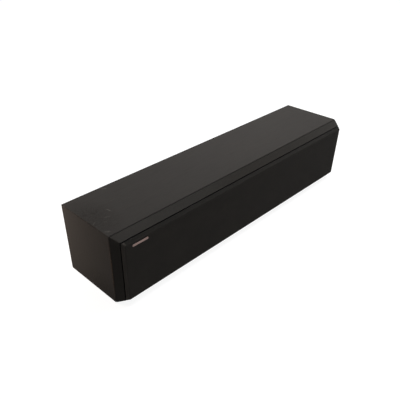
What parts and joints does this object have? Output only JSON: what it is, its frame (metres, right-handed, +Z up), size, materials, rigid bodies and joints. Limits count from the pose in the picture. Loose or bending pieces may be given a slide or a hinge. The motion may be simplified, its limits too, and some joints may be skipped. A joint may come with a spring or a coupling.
{
  "type": "center channel speaker",
  "caption": "Long low loudspeaker cabinet with a bevelled baffle, a pull-off cloth grille, small woofers beside a horn tweeter, and ports and binding posts behind.",
  "frame": {"origin": "centre of the footprint, on the shelf under the feet", "axes": "+X along the width to the listener's right, -Y out of the grille, +Z up"},
  "size_m": [0.67, 0.157, 0.144],
  "materials": {
    "black_ash_vinyl": "black ash vinyl on board, satin",
    "back_vinyl": "plain black vinyl on board, matte",
    "baffle_paint": "satin black paint on board",
    "bare_board": "bare fibreboard",
    "frame_abs": "moulded black",
    "peg_nylon": "moulded black nylon",
    "grille_cloth": "woven black polyester",
    "cup_rubber": "matte black",
    "basket_steel": "black coated steel",
    "surround_rubber": "soft black",
    "cone_pulp": "coated dark grey pulp",
    "spider_cloth": "resin-dipped cotton",
    "coil_copper": "enamelled copper wire",
    "gasket_foam": "closed-cell foam",
    "zinc_steel": "zinc plated",
    "ferrite": "ground ferrite",
    "black_screws": "black oxide",
    "waveguide_abs": "moulded black, fine texture",
    "dome_silk": "coated silk",
    "terminal_abs": "moulded black",
    "plated_brass": "plated",
    "red_cap": "clear-coated red",
    "black_cap": "clear-coated black",
    "port_abs": "moulded black",
    "circuit_board": "green solder mask",
    "standoff_nylon": "natural nylon",
    "capacitor_film": "amber film",
    "cement": "cast white",
    "damping_foam": "grey felt",
    "foot_rubber": "matte black",
    "wire_sleeve": "twin-core sleeve"
  },
  "bodies": {
    "cabinet": {"back_panel": "back_vinyl", "black_binding_post": "plated_brass", "board_standoffs": "standoff_nylon", "bottom_panel": "black_ash_vinyl", "capacitors": "capacitor_film", "crossover_board": "circuit_board", "damping_pads": "damping_foam", "driver_screws": "black_screws", "front_baffle": "baffle_paint", "grille_cups": "cup_rubber", "inductors": "coil_copper", "left_brace": "bare_board", "left_port_tube": "port_abs", "left_side_panel": "black_ash_vinyl", "red_binding_post": "plated_brass", "resistors": "cement", "right_brace": "bare_board", "right_port_tube": "port_abs", "right_side_panel": "black_ash_vinyl", "rubber_feet": "foot_rubber", "terminal_cup": "terminal_abs", "terminal_screws": "black_screws", "top_panel": "black_ash_vinyl", "tweeter_dome": "dome_silk", "tweeter_front_plate": "zinc_steel", "tweeter_magnet": "ferrite", "tweeter_waveguide": "waveguide_abs", "tweeter_yoke": "zinc_steel", "wiring_loom": "wire_sleeve", "woofer_1_basket": "basket_steel", "woofer_1_spider": "spider_cloth", "woofer_1_surround": "surround_rubber", "woofer_2_basket": "basket_steel", "woofer_2_spider": "spider_cloth", "woofer_2_surround": "surround_rubber", "woofer_3_basket": "basket_steel", "woofer_3_spider": "spider_cloth", "woofer_3_surround": "surround_rubber", "woofer_4_basket": "basket_steel", "woofer_4_spider": "spider_cloth", "woofer_4_surround": "surround_rubber", "woofer_gaskets": "gasket_foam", "woofer_magnets": "ferrite", "woofer_top_plates": "zinc_steel", "woofer_yokes": "zinc_steel"},
    "grille": {"grille_frame": "frame_abs", "grille_cloth": "grille_cloth", "grille_pegs": "peg_nylon"},
    "red_clamp": {"red_clamp_washer": "plated_brass"},
    "red_cap": {"red_post_cap": "red_cap"},
    "black_clamp": {"black_clamp_washer": "plated_brass"},
    "black_cap": {"black_post_cap": "black_cap"},
    "woofer_1_moving": {"woofer_1_cone": "cone_pulp", "woofer_1_voice_coil": "coil_copper"},
    "woofer_2_moving": {"woofer_2_cone": "cone_pulp", "woofer_2_voice_coil": "coil_copper"},
    "woofer_3_moving": {"woofer_3_cone": "cone_pulp", "woofer_3_voice_coil": "coil_copper"},
    "woofer_4_moving": {"woofer_4_cone": "cone_pulp", "woofer_4_voice_coil": "coil_copper"}
  },
  "joints": [
    {"name": "grille_pull", "type": "slide", "parent": "cabinet", "child": "grille", "axis": [0, -1, 0], "range_m": [0, 0.15]},
    {"name": "woofer_1_excursion", "type": "slide", "parent": "cabinet", "child": "woofer_1_moving", "axis": [0, -1, 0], "range_m": [-0.003, 0.003], "stiffness_N_per_m": 1500, "deforming": ["woofer_1_surround", "woofer_1_spider"]},
    {"name": "woofer_2_excursion", "type": "slide", "parent": "cabinet", "child": "woofer_2_moving", "axis": [0, -1, 0], "range_m": [-0.003, 0.003], "stiffness_N_per_m": 1500, "deforming": ["woofer_2_surround", "woofer_2_spider"]},
    {"name": "woofer_3_excursion", "type": "slide", "parent": "cabinet", "child": "woofer_3_moving", "axis": [0, -1, 0], "range_m": [-0.003, 0.003], "stiffness_N_per_m": 1500, "deforming": ["woofer_3_surround", "woofer_3_spider"]},
    {"name": "woofer_4_excursion", "type": "slide", "parent": "cabinet", "child": "woofer_4_moving", "axis": [0, -1, 0], "range_m": [-0.003, 0.003], "stiffness_N_per_m": 1500, "deforming": ["woofer_4_surround", "woofer_4_spider"]},
    {"name": "red_clamp_travel", "type": "slide", "parent": "cabinet", "child": "red_clamp", "axis": [0, 1, 0], "range_m": [0, 0.004]},
    {"name": "red_cap_turn", "type": "hinge", "parent": "red_clamp", "child": "red_cap", "pos_m": [-0.019, 0.063, 0.0735], "axis": [0, 1, 0], "range_deg": [0, 1440.5]},
    {"name": "black_clamp_travel", "type": "slide", "parent": "cabinet", "child": "black_clamp", "axis": [0, 1, 0], "range_m": [0, 0.004]},
    {"name": "black_cap_turn", "type": "hinge", "parent": "black_clamp", "child": "black_cap", "pos_m": [0.019, 0.063, 0.0735], "axis": [0, 1, 0], "range_deg": [0, 1440.5]}
  ],
  "couplings": [
    {"joint": "red_cap_turn", "follows": "red_clamp_travel", "rad_per_m": 6283.2},
    {"joint": "black_cap_turn", "follows": "black_clamp_travel", "rad_per_m": 6283.2}
  ]
}
